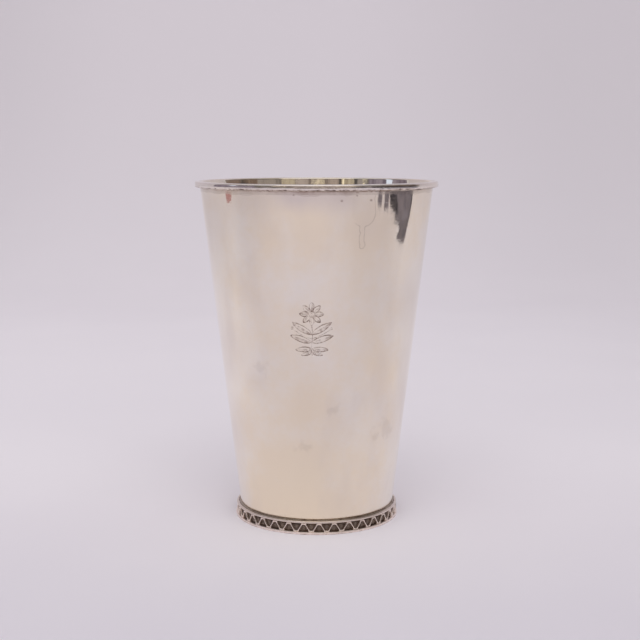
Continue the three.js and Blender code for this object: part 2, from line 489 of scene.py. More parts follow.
def spot_stain(wall):
    """Dark spots and fainter ragged smudges."""
    spots = wall.between(wall.nearest_of(SPOTS), *SPOT_RAMP)
    smear = wall.between(wall.noise(SMEAR, detail=2.0, offset=5.6), *SMEAR_RAMP)
    smudges = wall.plus(wall.nearest_of(SMUDGES), smear)
    return wall.most(spots, wall.between(smudges, *SMUDGE_RAMP))


# Tarnish and painted shade under the rim, by depths below its wire, and above the foot, by rises over its
# collar
SLOW, SLOW_RAMP = 5 * MM, [(0.25, 0.75), (0.45, 1.0)]
RIM_LINE = [(1.5 * MM, 1.15 * MM), (0.0, 0.5)]
RIM_BAND = [(1.4 * MM, 0.3 * MM), (0.0, 0.75)]
RIM_SIDES, RIM_MORE = 0.65, 0.4
PIT, PIT_STRETCH, PIT_RAMP = 1.5 * MM, (1, 1, 0.6), [(0.56, 0.66), (0.0, 0.65)]
PIT_BAND = (1.3 * MM, 0.5 * MM)
FLOW_DEPTH, FLOW_WANDER, FLOW_LINE = 0.1 * MM, 1.6 * MM, [(0.03 * MM, 0.22 * MM), (0.27, 0.0)]
FOOT_LINE, FOOT_LINE_DARK = (0.38 * MM, 0.05 * MM), 0.85
GRIT, GRIT_RAMP = 0.9 * MM, [(0.6, 0.7), (0.0, 0.3)]
GRIT_BAND = (1.4 * MM, 0.6 * MM)
FOOT_POLISHED = [(-28 * MM, -24 * MM), (0.15, 1.0)]


def rim_tarnish_and_shade(wall, front):
    """Tarnish and painted shade under the rim, most in front, with pits and a line where the rim's solder
    stopped flowing.
    """

    def below(depths, results=(0.0, 1.0)):
        return wall.between(wall.z, [RIM_BOTTOM - depth for depth in depths], results)

    slow = wall.between(wall.noise(SLOW, detail=2.0, offset=4.4), *SLOW_RAMP)
    band = wall.times(wall.most(below(*RIM_LINE), below(*RIM_BAND)), slow)
    band = wall.times(band, wall.plus(wall.times(front, RIM_MORE), RIM_SIDES))
    pits = wall.between(wall.noise(PIT, stretch=PIT_STRETCH, offset=2.2), *PIT_RAMP)
    pits = wall.times(pits, below(PIT_BAND))
    flow = wall.minus(wall.plus(wall.z, wall.times(slow, FLOW_WANDER)), RIM_BOTTOM - FLOW_DEPTH)
    flow = wall.between(wall.size(flow), *FLOW_LINE)
    return wall.most(wall.most(band, pits), flow)


def foot_tarnish_and_shade(wall):
    """A dark line of tarnish and painted shade in the corner above the foot, and specks, polished away far
    on the left.
    """
    line = wall.between(wall.height, [COLLAR_TOP + rise for rise in FOOT_LINE], (0.0, FOOT_LINE_DARK))
    grit = wall.between(wall.noise(GRIT, offset=9.4), *GRIT_RAMP)
    grit = wall.times(grit, wall.between(wall.z, [COLLAR_TOP + rise for rise in GRIT_BAND]))
    polished = wall.between(wall.across, *FOOT_POLISHED)
    return wall.times(wall.most(line, grit), polished)


# Where the wall's patina is warmer or cooler, and where haze and painted reflection make it greyer or paler
LOW_WARMTH = [(8 * MM, 45 * MM), (0.06, -0.02)]
HIGH_WARMTH = [(100 * MM, 116 * MM), (0.0, 0.08)]
CLOUD_WARMTH = [(-9.0 * MM, 9.0 * MM), (0.3, 0.0)]
SIDES, SIDES_WARMTH = (math.radians(46), math.radians(66)), -0.22
SIDES_PART = [(100 * MM, 80 * MM), (0.3, 1.0)]
FRONT = (18 * MM, 8 * MM)
SMOKY_PART, SMOKY_SIDES, SMOKY_MORE = (108 * MM, 117 * MM), 0.15, 0.75
CLOUD_FADE, PALE_RESULT, GREY_RESULT = (-7.0 * MM, 7.0 * MM), (-0.4, 0.0), (0.35, 0.0)


def wall_warmth(wall):
    """The patina is warmest near the foot, under the rim and in some clouds, and coolest at the sides."""
    low = wall.between(wall.z, *LOW_WARMTH)
    high = wall.between(wall.z, *HIGH_WARMTH)
    clouds = wall.between(wall.nearest_of(WARM_CLOUDS), *CLOUD_WARMTH)
    sides = wall.between(wall.size(wall.turn), SIDES)
    sides = wall.times(sides, wall.between(wall.z, *SIDES_PART))
    return wall.plus(wall.plus(wall.plus(low, high), clouds), wall.times(sides, SIDES_WARMTH))


def wall_haze(wall, front):
    """Haze under the rim, most in front, and clouds of haze that are also painted reflection, paler or
    greyer where the wall mirrors lighter or darker surroundings.
    """
    smoky = wall.plus(wall.times(front, SMOKY_MORE), SMOKY_SIDES)
    smoky = wall.times(wall.between(wall.z, SMOKY_PART), smoky)
    pale = wall.between(wall.nearest_of(PALE_HAZE_AND_REFLECTION), CLOUD_FADE, PALE_RESULT)
    grey = wall.between(wall.nearest_of(GREY_HAZE_AND_REFLECTION), CLOUD_FADE, GREY_RESULT)
    return wall.plus(wall.plus(smoky, pale), grey)


WALL_COOL, WALL_WARM, WALL_ROUGHNESS = (0.955, 0.905, 0.815), (0.945, 0.835, 0.66), 0.03
DEEP_COOL, DEEP_WARM, DEEP_SATIN = (0.96, 0.94, 0.9), (0.95, 0.91, 0.84), 0.27
DEEP_PART = (112 * MM, 95 * MM)


def wall_silver():
    wall = Wall("wall_silver")
    front = wall.between(wall.size(wall.across), FRONT)
    ends = wall.times(wall.most(rim_tarnish_and_shade(wall, front), foot_tarnish_and_shade(wall)), wall.outer)
    stain = wall.most(drip_stain(wall), spot_stain(wall))
    stain = wall.most(stain, wall.most(ends, ragged_tarnish(wall)))

    # Deep inside, where no polishing cloth reached, the silver is whiter and satin
    deep = wall.times(wall.between(wall.z, DEEP_PART), wall.minus(1.0, wall.outer))
    return finish_silver(
        wall,
        cool=wall.mix(deep, WALL_COOL, DEEP_COOL),
        warm=wall.mix(deep, WALL_WARM, DEEP_WARM),
        warmth=wall_warmth(wall),
        smoky=wall_haze(wall, front),
        stain=stain,
        roughness=WALL_ROUGHNESS,
        satin=wall.times(deep, DEEP_SATIN),
    )


def wire_silver(name, cool, warm, roughness):
    tree = Tree(name)
    return finish_silver(tree, cool, warm, 0.0, 0.0, ragged_tarnish(tree), roughness)


STIPPLE, STIPPLE_LIMITS, STIPPLE_BUMP = 0.3 * MM, (0.42, 0.75), 0.05 * MM
STIPPLE_ROUGHNESS = [(0.2, 0.8), (0.36, 0.6)]
OXIDE, OXIDE_PALE = (0.108, 0.075, 0.057), (0.28, 0.22, 0.178)
PATCH, PATCH_RAMP = 1.6 * MM, [(0.42, 0.65), (0.0, 0.6)]
OXIDE_BLACK, OXIDE_WORN = (0.086, 0.059, 0.046), (0.55, 0.475, 0.41)


def oxidised_silver():
    """Blackened silver with a stippled ground, paler where the mesh marks it as worn, which in each window's
    middle is also painted light.
    """
    tree = Tree("oxidised_silver")
    stipple = tree.noise(STIPPLE, offset=4.0)
    patch = tree.between(tree.noise(PATCH, detail=2.0, offset=6.0), *PATCH_RAMP)
    colour = tree.mix(tree.between(stipple, STIPPLE_LIMITS), OXIDE, OXIDE_PALE)
    colour = tree.mix(patch, colour, OXIDE_BLACK)
    colour = tree.mix(tree.attribute("tarnish"), OXIDE_WORN, colour)
    tree.set(
        Base_Color=colour,
        Metallic=1.0,
        Roughness=tree.between(stipple, *STIPPLE_ROUGHNESS),
        Normal=tree.bump(stipple, STIPPLE_BUMP),
    )
    return tree.material


WALL_SILVER = wall_silver()
RIM_SILVER = wire_silver("rim_silver", cool=(0.93, 0.885, 0.84), warm=(0.91, 0.82, 0.72), roughness=0.07)
FOOT_SILVER = wire_silver("foot_silver", cool=(0.96, 0.87, 0.82), warm=(0.95, 0.83, 0.74), roughness=0.32)
RAIL_SILVER = wire_silver("rail_silver", cool=(0.83, 0.75, 0.7), warm=(0.8, 0.7, 0.62), roughness=0.3)
SOLDER = wire_silver("solder", cool=(0.62, 0.55, 0.47), warm=(0.5, 0.42, 0.34), roughness=0.3)
OXIDISED = oxidised_silver()


# Body wall, with the ornament cut into its front

WALL_COLUMNS = 160  # beside those of the ornament
ROWS_BELOW, ROWS_ABOVE, ROWS_INSIDE = 30, 22, 26
WALL_EDGE = 0.15 * MM
LIP_STEPS = 8
FREE_OVER_FOOT, FREE_UNDER_LIP = (8 * MM, 20 * MM), (4 * MM, 16 * MM)  # where nothing holds it even
DENTS = [(0.01 * MM, 9, 1.0), (0.02 * MM, 4, 2.0)]  # depth, waves and seed


def make_wall():
    half_angle = HALF_WIDTH * MM / outside(ORNAMENT_HEIGHT)
    left, right = ORNAMENT_ANGLE - half_angle, ORNAMENT_ANGLE + half_angle
    fine_columns = round(2 * HALF_WIDTH / CUT_GRID)
    angles = np.concatenate([
        np.linspace(left, right, fine_columns, endpoint=False),
        np.linspace(right, left + 2 * math.pi, WALL_COLUMNS, endpoint=False),
    ])
    low = ORNAMENT_HEIGHT - HALF_HEIGHT * MM
    high = ORNAMENT_HEIGHT + HALF_HEIGHT * MM
    fine_rows = round(2 * HALF_HEIGHT / CUT_GRID)
    front = np.concatenate([
        np.linspace(WALL_BOTTOM + WALL_EDGE, low, ROWS_BELOW, endpoint=False),
        np.linspace(low, high, fine_rows, endpoint=False),
        np.linspace(high, HEIGHT - WALL_EDGE, ROWS_ABOVE),
    ])
    back = np.linspace(HEIGHT - LIP_ROUND, WALL_BOTTOM + WALL_EDGE, ROWS_INSIDE)[1:]
    turn = np.linspace(0, math.pi / 2, LIP_STEPS)
    radius = np.concatenate([
        outside(front),
        [outside(HEIGHT) - WALL_EDGE],
        inside(HEIGHT - LIP_ROUND) + LIP_ROUND * (1 - np.sin(turn)),
        inside(back),
        [inside(WALL_BOTTOM) + WALL_EDGE, outside(WALL_BOTTOM) - WALL_EDGE],
    ])
    height = np.concatenate([
        front,
        [HEIGHT],
        HEIGHT - LIP_ROUND * (1 - np.cos(turn)),
        back,
        [WALL_BOTTOM, WALL_BOTTOM],
    ])

    # The ornament's share of depth, over the fine part of the grid
    cut = np.zeros((len(angles), len(radius)))
    columns = slice(0, fine_columns + 1)
    rows = slice(ROWS_BELOW, ROWS_BELOW + fine_rows + 1)
    across, up = np.meshgrid(
        (angles[columns] - ORNAMENT_ANGLE) * outside(ORNAMENT_HEIGHT) / MM,
        (height[rows] - ORNAMENT_HEIGHT) / MM,
        indexing="ij",
    )
    cut[columns, rows] = cut_share(np.stack([across.ravel(), up.ravel()], axis=1)).reshape(across.shape)

    # A hammered and turned wall is never quite even, except where the rim and foot hold it
    waviness = sum(depth * ripple(angles[:, None], height, *waves) for depth, *waves in DENTS)
    free = ease(height, *FREE_OVER_FOOT) * ease(HEIGHT - height, *FREE_UNDER_LIP)
    points = ring_points(angles, radius + waviness * free - CUT_DEPTH * cut, height)
    faces = ring_faces(len(angles), len(radius))
    tarnish = CUT_TARNISH * cut.ravel()
    mesh_piece("wall", points, faces, tarnish, "body_wall", WALL_SILVER)


FLOOR_DOME = 0.8 * MM
FLOOR_RINGS, FLOOR_COLUMNS = 24, 180
FLOOR_DIRT, FLOOR_DIRT_WIDTH = 0.7, 2 * MM


def make_floor():
    """A slightly domed disc, closed at the middle of each face."""
    thickness = FLOOR_TOP - FLOOR_BOTTOM - FLOOR_DOME
    out = np.linspace(FLOOR_EDGE, 0, FLOOR_RINGS)[:-1]
    crown = FLOOR_BOTTOM + FLOOR_DOME * (1 - (out / FLOOR_EDGE) ** 2)
    radius = np.concatenate([out[::-1], out])
    height = np.concatenate([crown[::-1], crown + thickness])
    angles = even_angles(FLOOR_COLUMNS)
    rows = len(radius)
    points = list(ring_points(angles, radius, height))
    under, over = len(points), len(points) + 1
    points += [(0, 0, FLOOR_TOP - thickness), (0, 0, FLOOR_TOP)]
    faces = []
    for column in range(FLOOR_COLUMNS):
        here, there = column * rows, (column + 1) % FLOOR_COLUMNS * rows
        faces.append((under, there, here))
        faces.append((here + rows - 1, there + rows - 1, over))
        for row in range(rows - 1):
            faces.append((here + row, there + row, there + row + 1, here + row + 1))
    dirt = FLOOR_DIRT * ease(radius, FLOOR_EDGE - FLOOR_DIRT_WIDTH, FLOOR_EDGE)
    tarnish = np.concatenate([np.tile(dirt, FLOOR_COLUMNS), [0, 0]])
    mesh_piece("floor", points, faces, tarnish, "floor_disc", WALL_SILVER)


# Wires round the lip and the foot

NOSE_STEPS = 24
PUSH_WAVES, BLOTCH_WAVES = 11, 17
PUSH_PEAK, PUSH_RANGE = 1.6, 3  # about a ripple's highest value, and its range


def nose_section(back_low, back_high, bottom, top, outer, nose, square):
    """Section of a wire with a flat back and a nose that is round, or squarer where square is over 1."""
    turn = np.linspace(-math.pi / 2, math.pi / 2, NOSE_STEPS)
    rounded = np.stack([
        outer - nose + nose * np.cos(turn).clip(0) ** (1 / square),
        (bottom + top) / 2 + (top - bottom) / 2 * np.sign(turn) * np.abs(np.sin(turn)) ** (1 / square),
    ], axis=1)
    return np.concatenate([[(back_low, bottom)], rounded, [(back_high, top)]])


def make_ring(name, section, tarnish, node, material, unevenness, mottle, seed):
    """A wire of that section bent round the beaker, pushed in a little here and there as handwork is."""
    angles = even_angles()
    push = unevenness * (ripple(angles, 0, PUSH_WAVES, seed) - PUSH_PEAK) / PUSH_RANGE
    points = ring_points(angles, section[:, 0] + push[:, None], section[:, 1])
    faces = ring_faces(len(angles), len(section))
    blotch = mottle * (1 + ripple(angles, 0, BLOTCH_WAVES, seed + 1)).clip(0)
    tarnish = (tarnish + blotch[:, None]).clip(0, 1)
    mesh_piece(name, points, faces, tarnish.ravel(), node, material)


SINK = 0.03 * MM  # how far a soldered piece goes into what it is soldered to
RIM_NOSE, RIM_SQUARE = 1.2 * MM, 1.7
# The rim wire's underside is darkened with tarnish and painted shade, by heights over its bottom
RIM_DIRT_AND_SHADE, RIM_DIRT_AND_SHADE_TOP, RIM_DIRT_AND_SHADE_FULL = 0.5, 0.7 * MM, 0.2 * MM
RIM_PUSH, RIM_MOTTLE, RIM_SEED = 0.06 * MM, 0.06, 1.0


def make_rim():
    low_back, high_back = outside(RIM_BOTTOM) - SINK, outside(RIM_TOP) - SINK
    section = nose_section(low_back, high_back, RIM_BOTTOM, RIM_TOP, RIM_OUTSIDE, RIM_NOSE, RIM_SQUARE)
    dirt = RIM_DIRT_AND_SHADE * ease(section[:, 1], RIM_BOTTOM + RIM_DIRT_AND_SHADE_TOP, RIM_BOTTOM + RIM_DIRT_AND_SHADE_FULL)
    make_ring("rim", section, dirt, "rim_wire", RIM_SILVER, RIM_PUSH, RIM_MOTTLE, RIM_SEED)


FOOT_PUSH, FOOT_MOTTLE = 0.05 * MM, 0.05
BACK_DIRT, BACK_EDGE, BACK_FULL = 0.85, 0.2 * MM, 0.05 * MM
# Painted contact shade along a wire's base, by heights over its bottom
BASE_SHADE_TOP, BASE_SHADE_FULL = 0.35 * MM, 0.1 * MM


def make_foot_wire(name, node, material, nose, square, dirt, seed):
    """A plain wire round the collar, dirty at its back and, where dirt is over 0, darkened along its base
    with painted contact shade where it stands on the paper.
    """
    bottom, top, outer = span(node)
    back = COLLAR_OUTSIDE - SINK
    section = nose_section(back, back, bottom, top, outer, nose, square)
    behind = BACK_DIRT * ease(section[:, 0], back + BACK_EDGE, back + BACK_FULL)
    base = dirt * ease(section[:, 1], bottom + BASE_SHADE_TOP, bottom + BASE_SHADE_FULL)
    make_ring(name, section, np.maximum(behind, base), node, material, FOOT_PUSH, FOOT_MOTTLE, seed)


WAVE_COUNT = 34
WAVE_PHASE = math.radians(1.7)
ZIGZAG_WIDTH = 0.34 * MM
FLAT_LENGTH = 0.55 * MM
BEND_INSIDE = 0.32 * MM
BEND_STEPS, LEG_STEPS, CROWN_STEPS = 9, 8, 13
FLAT_GAP = 0.08 * MM  # to the upper plain wire, while the lower flats touch the lower one
BEND_SPREAD = 0.6  # share by which solder widens the bends
BEND_START, BEND_FULL = 0.5, 0.95  # where a bend begins and is full, as shares of half the gap
CORNER_FILL, CORNER_REACH = 0.25 * MM, 0.45 * MM  # how far solder runs along a plain wire, and away from it
ZIGZAG_SOFT = 0.2 * MM  # depth of its rounded front
ZIGZAG_SPREAD = 0.06 * MM  # how much wider its soldered back is, on each side
ZIGZAG_DIRT, ZIGZAG_DIRT_EDGE, ZIGZAG_DIRT_FULL = 0.9, 0.25 * MM, 0.5 * MM  # by depths behind its front


def zigzag_wave(pitch):
    """One wave on the unrolled collar, along the band and up, from one upper flat's middle to the next."""
    bend = BEND_INSIDE + ZIGZAG_WIDTH / 2
    upper = UPPER_BOTTOM - FLAT_GAP - ZIGZAG_WIDTH / 2 - bend
    lower = LOWER_TOP + ZIGZAG_WIDTH / 2 + bend
    flat = FLAT_LENGTH / 2
    run, rise = pitch / 2 - FLAT_LENGTH, upper - lower
    slope = math.atan2(rise, run) + math.asin(2 * bend / math.hypot(run, rise))
    level = math.pi / 2 - slope  # where on its circle an upper bend passes into a leg
    bends = [
        (flat, upper, math.pi / 2, level),
        (pitch / 2 - flat, lower, math.pi + level, 1.5 * math.pi),
        (pitch / 2 + flat, lower, 1.5 * math.pi, 2 * math.pi - level),
        (pitch - flat, upper, math.pi - level, math.pi / 2),
    ]
    arcs = []
    for centre, height, start, end in bends:
        turn = np.linspace(start, end, BEND_STEPS)
        arcs.append(np.stack([centre + bend * np.cos(turn), height + bend * np.sin(turn)], axis=1))
    share = np.linspace(0, 1, LEG_STEPS)[1:-1, None]
    legs = [arcs[i][-1] * (1 - share) + arcs[i + 1][0] * share for i in (0, 2)]
    return np.concatenate([arcs[0], legs[0], arcs[1], arcs[2], legs[1], arcs[3]])


def make_zigzag():
    back = COLLAR_OUTSIDE - SINK
    depth = ZIGZAG_OUTSIDE - back
    middle = back + depth / 2
    pitch = 2 * math.pi * middle / WAVE_COUNT
    wave = zigzag_wave(pitch)
    path = np.concatenate([wave + (number * pitch, 0) for number in range(WAVE_COUNT)])
    length = pitch * WAVE_COUNT
    ahead = np.roll(path, -1, axis=0) - path
    ahead[:, 0] -= length * np.round(ahead[:, 0] / length)
    ahead /= np.linalg.norm(ahead, axis=1)[:, None]
    along = ahead + np.roll(ahead, 1, axis=0)
    along /= np.linalg.norm(along, axis=1)[:, None]

    half = ZIGZAG_WIDTH / 2
    crown = np.linspace(0, math.pi, CROWN_STEPS)
    across = np.concatenate([[half + ZIGZAG_SPREAD], half * np.cos(crown), [-half - ZIGZAG_SPREAD]])
    out = np.concatenate([[0], depth - ZIGZAG_SOFT + ZIGZAG_SOFT * np.sin(crown), [0]])
    half_gap = (UPPER_BOTTOM - LOWER_TOP) / 2
    level = LOWER_TOP + half_gap
    bent = ease(np.abs(path[:, 1:] - level), BEND_START * half_gap, BEND_FULL * half_gap)
    across = across * (1 + BEND_SPREAD * bent)
    place = path[:, :1] - along[:, 1:] * across
    height = path[:, 1:] + along[:, :1] * across
    wave_share = place / pitch - np.where(height > level, 0.0, 0.5)
    beside = np.clip((wave_share - np.round(wave_share)) * pitch / FLAT_LENGTH, -1, 1)
    place = place + CORNER_FILL * beside * ease(np.abs(height - level), half_gap - CORNER_REACH, half_gap)
    angle = WAVE_PHASE + place / middle
    radius = back + out
    points = np.stack([radius * np.sin(angle), -radius * np.cos(angle), height], axis=-1).reshape(-1, 3)
    faces = [tuple(reversed(face)) for face in ring_faces(len(path), len(out))]
    dirt = ZIGZAG_DIRT * ease(out, depth - ZIGZAG_DIRT_EDGE, depth - ZIGZAG_DIRT_FULL)
    tarnish = np.tile(dirt, len(path))
    mesh_piece("zigzag", points, faces, tarnish, "zigzag_wire", FOOT_SILVER)


# Collar behind the zigzag

COLLAR_COLUMNS, COLLAR_ROWS = 720, 22
COLLAR_EDGE = 0.05 * MM
WINDOWS = [(0.0, 0.42), (0.5, 0.58)]  # under upper and over lower bends, as shares of pitch and gap
WINDOW_SQUASH = 0.6  # of the heights of a patch that is worn and painted lighter, so that it is taller than wide
WORN_EDGE, WORN_FULL, WORN_AND_LIT_SHARE = 0.85 * MM, 0.15 * MM, 0.2
STIPPLE_DEPTH, STIPPLE_SEED = 0.03 * MM, 7
GROUND_SWELL, GROUND_EDGE = 0.25 * MM, 0.4 * MM  # how far the ground stands out, and its edge's width
CUSHION = 0.1 * MM
BASE_DARKENING = 0.3 * MM
LEDGE_TARNISH, LEDGE_DULL_MORE = 0.22, 0.4
LEDGE_DULL, DULL_COSINES = math.radians(-28), (0.82, 0.97)  # where it has been polished least
LEDGE_BRIGHT, BRIGHT_COSINES = math.radians(-66), (0.92, 0.98)  # and most


def make_collar():
    """A blackened band with a rough ground, which swells in each window's middle and is painted paler there,
    for wear and for the light that catches it.
    """
    rise = np.linspace(COLLAR_BOTTOM + COLLAR_EDGE, COLLAR_TOP - COLLAR_EDGE, COLLAR_ROWS)
    shoulder = COLLAR_OUTSIDE - COLLAR_EDGE
    radius = np.concatenate([
        np.full(COLLAR_ROWS, COLLAR_OUTSIDE),
        [shoulder, outside(COLLAR_TOP), outside(COLLAR_BOTTOM), shoulder],
    ])
    height = np.concatenate([rise, [COLLAR_TOP, COLLAR_TOP, COLLAR_BOTTOM, COLLAR_BOTTOM]])
    angles = even_angles(COLLAR_COLUMNS)
    face = np.arange(len(height)) < COLLAR_ROWS

    pitch = 2 * math.pi * COLLAR_OUTSIDE / WAVE_COUNT
    phase = (angles[:, None] - WAVE_PHASE) * WAVE_COUNT / (2 * math.pi)
    gap = UPPER_BOTTOM - LOWER_TOP
    distance = np.full((COLLAR_COLUMNS, len(height)), pitch)
    for middle, level in WINDOWS:
        along = (phase - middle - np.round(phase - middle)) * pitch
        up = WINDOW_SQUASH * (height - LOWER_TOP - level * gap)
        distance = np.minimum(distance, np.hypot(along, up))
    worn = ease(distance, WORN_EDGE, WORN_FULL) * face

    rough = np.random.default_rng(STIPPLE_SEED).uniform(-1, 1, worn.shape)
    ground = face * ease(height, LOWER_TOP, LOWER_TOP + GROUND_EDGE)
    ground = ground * ease(height, UPPER_BOTTOM, UPPER_BOTTOM - GROUND_EDGE)
    swell = GROUND_SWELL * ground + CUSHION * worn + STIPPLE_DEPTH * ground * rough
    points = ring_points(angles, radius + swell, height)
    # Paler in each window's middle: wear, and painted light where the ground catches the light
    tarnish = ease(height, COLLAR_BOTTOM, COLLAR_BOTTOM + BASE_DARKENING) * (1 - WORN_AND_LIT_SHARE * worn)
    dull = ease(np.cos(angles - LEDGE_DULL), *DULL_COSINES)
    ledge = (height >= COLLAR_TOP) & ~face
    tarnish[:, ledge] = (LEDGE_TARNISH + LEDGE_DULL_MORE * dull)[:, None]
    faces = ring_faces(len(angles), len(radius))
    mesh_piece("collar", points, faces, tarnish.ravel(), "foot_collar", OXIDISED)


# Solder that fills the corners under the rim and on the foot's ledge

SEAM_COLUMNS, SEAM_STEPS = 720, 6
SEAM_SIZE, SEAM_SIZE_MORE, SEAM_WAVES, SLOW_WAVES = 0.75, 0.25, 31, 13
SEAM_DIRT, SEAM_DIRT_MORE, DIRT_WAVES = 0.4, 0.3, 9
SEAM_DIRT_LEAST, SEAM_DIRT_MOST = 0.1, 0.8
SEAM_BRIGHTENING = 0.9  # share of the tarnish that polishing took where the ledge is brightest


def make_seam(name, corner_height, along_wall, along_ledge, seed):
    """An uneven fillet between the wall and a ledge that meets it at corner_height.

    along_wall is the fillet's length up the wall, below 0 where it hangs under the ledge.
    """
    angles = even_angles(SEAM_COLUMNS)
    bulge = ripple(angles, 0, SEAM_WAVES, seed) * ripple(angles, 0, SLOW_WAVES, seed + 1)
    size = SEAM_SIZE + SEAM_SIZE_MORE * bulge
    share = np.linspace(0, 1, SEAM_STEPS)
    out = np.concatenate([along_ledge * (1 - share) ** 2, [-SINK, -SINK]])
    up = np.concatenate([along_wall * share ** 2, [along_wall, -math.copysign(SINK, along_wall)]])
    radius = outside(corner_height + up) + out * size[:, None]
    points = ring_points(angles, radius, corner_height + up * size[:, None])
    faces = ring_faces(len(angles), len(out))
    if along_wall < 0:
        faces = [tuple(reversed(face)) for face in faces]
    tarnish = SEAM_DIRT + SEAM_DIRT_MORE * ripple(angles, 0, DIRT_WAVES, seed + 2)
    tarnish = tarnish.clip(SEAM_DIRT_LEAST, SEAM_DIRT_MOST)
    bright = ease(np.cos(angles - LEDGE_BRIGHT), *BRIGHT_COSINES)
    tarnish = tarnish * (1 - SEAM_BRIGHTENING * bright)
    mesh_piece(name, points, faces, np.repeat(tarnish, len(out)), None, SOLDER)


make_wall()
make_floor()
make_rim()
make_collar()
make_foot_wire("upper_wire", "upper_foot_wire", RAIL_SILVER, nose=0.5 * MM, square=1.3, dirt=0.0, seed=2.0)
# On the lower wire, dirt is painted contact shade along its base
make_foot_wire("lower_wire", "lower_foot_wire", FOOT_SILVER, nose=0.75 * MM, square=2.6, dirt=0.32, seed=3.0)
make_zigzag()
make_seam("rim_solder", RIM_BOTTOM, along_wall=-0.4 * MM, along_ledge=0.5 * MM, seed=1.0)
make_seam("foot_solder", COLLAR_TOP, along_wall=0.22 * MM, along_ledge=0.2 * MM, seed=2.0)


# Stage: a pale sweep, soft light from above, and cards that only the silver mirrors

BLOTCH_LIMITS = (0.42, 0.58)


def glow(name, colour, darker=None, feature=None):
    """A card's own light, in blotches of that size between two colours where a darker one is given.

    Light on its way to the floor passes through the card.
    """
    tree = Tree(name)
    if darker:
        colour = tree.mix(tree.between(tree.noise(feature, detail=2.0), BLOTCH_LIMITS), darker, colour)
    emission = tree.add("Emission", Color=colour).outputs[0]
    clear = tree.add("BsdfTransparent").outputs[0]
    scattered = tree.least(tree.add("LightPath").outputs["Diffuse Depth"], 1.0)
    shown = tree.add("MixShader", _0=scattered, _1=emission, _2=clear)
    tree.links.new(shown.outputs[0], tree.nodes["Material Output"].inputs["Surface"])
    tree.nodes.remove(tree.shader)
    return tree.material


def stage_mesh(name, points, faces, material):
    thing = add_object(name, smooth_mesh(name, points, faces, material))
    return thing


def make_card(name, points, faces, material):
    """A part of the stage that only reflections show."""
    card = stage_mesh(name, points, faces, material)
    card.visible_camera = False
    card.visible_diffuse = False
    card.visible_transmission = False
    card.visible_volume_scatter = False
    card.visible_shadow = False


# Painted light and shade on the paper: paler round and just behind the beaker, darker in front and far up
# the sweep
PAPER, PALE_PAPER, FAR_SHADED_PAPER = (0.825, 0.785, 0.845), (0.985, 0.945, 0.985), (0.86, 0.81, 0.845)
SHADE = (0, 0, 0)
PAINTED_LIGHT_RAMP = [(-0.14, 0.07), (0.0, 0.9)]  # painted light, from front to back
FAR_PART = (0.4, 1.1)
RIGHT_SHADE = [(0.0, 0.3), (0.0, 0.08)]  # the stage is dimmer on the right
LEFT_SHADE = [(-0.2, -0.5), (0.0, 0.1)]  # and far out on the left
CLOUD, CLOUD_RAMP = 0.12, [(0.3, 0.7), (0.0, 0.1)]
FIBRE, FIBRE_DEPTH, PAPER_ROUGHNESS = 0.6 * MM, 0.01 * MM, 0.9
SWEEP_START, SWEEP_RADIUS, SWEEP_TOP, SWEEP_STEPS = 0.55, 0.7, 3.0, 24
SWEEP_FRONT, SWEEP_HALF = -3.0, 3.0


def paper():
    tree = Tree("paper")
    cloudy = tree.between(tree.noise(CLOUD, detail=2.0), *CLOUD_RAMP)
    fibre = tree.noise(FIBRE)
    aside, back, _ = tree.add("SeparateXYZ", _0=tree.place).outputs
    pale = tree.plus(tree.between(back, *PAINTED_LIGHT_RAMP), cloudy)
    colour = tree.mix(pale, PAPER, PALE_PAPER)
    colour = tree.mix(tree.between(back, FAR_PART), colour, FAR_SHADED_PAPER)
    colour = tree.mix(tree.between(aside, *RIGHT_SHADE), colour, SHADE)
    colour = tree.mix(tree.between(aside, *LEFT_SHADE), colour, SHADE)
    normal = tree.bump(fibre, FIBRE_DEPTH)
    tree.set(Base_Color=colour, Roughness=PAPER_ROUGHNESS, Specular_IOR_Level=0.0, Normal=normal)
    return tree.material


def make_sweep():
    turn = np.linspace(0, math.pi / 2, SWEEP_STEPS)
    line = [(SWEEP_FRONT, 0.0)]
    line += [(SWEEP_START + SWEEP_RADIUS * math.sin(t), SWEEP_RADIUS * (1 - math.cos(t))) for t in turn]
    line.append((SWEEP_START + SWEEP_RADIUS, SWEEP_TOP))
    points = [(side * SWEEP_HALF, y, z) for y, z in line for side in (-1, 1)]
    faces = [(2 * i, 2 * i + 1, 2 * i + 3, 2 * i + 2) for i in range(len(line) - 1)]
    stage_mesh("sweep", points, faces, paper())


# Lights of the cards: a colour, and for a blotchy one a darker colour and the size of its blotches
LIGHTS = {
    "dim_room": [(0.3, 0.27, 0.265), (0.085, 0.078, 0.08), 0.24],
    "cool_wall": [(0.27, 0.235, 0.29), (0.15, 0.125, 0.165), 0.2],
    "lit_wall": [(0.44, 0.39, 0.32), (0.3, 0.26, 0.21), 0.1],
    "pale_wall": [(0.4, 0.345, 0.33), (0.21, 0.178, 0.17), 0.12],
    "warm_lamp": [(0.95, 0.87, 0.68)],
    "side_window": [(0.72, 0.8, 1.0)],
    "dark_corner": [(0.06, 0.05, 0.05)],
    "warm_corner": [(0.27, 0.2, 0.165), (0.17, 0.125, 0.105), 0.15],
    "pale_corner": [(0.205, 0.155, 0.14), (0.15, 0.115, 0.105), 0.15],
    "dark_floor": [(0.2, 0.18, 0.222), (0.142, 0.129, 0.164), 0.1],
    "floor_tip": [(0.165, 0.145, 0.17), (0.12, 0.108, 0.13), 0.02],
    "darker_floor": [(0.055, 0.05, 0.062)],
    "pink_box": [(0.42, 0.24, 0.25)],
    "front_floor_shadow": [(0.3, 0.26, 0.25)],
}

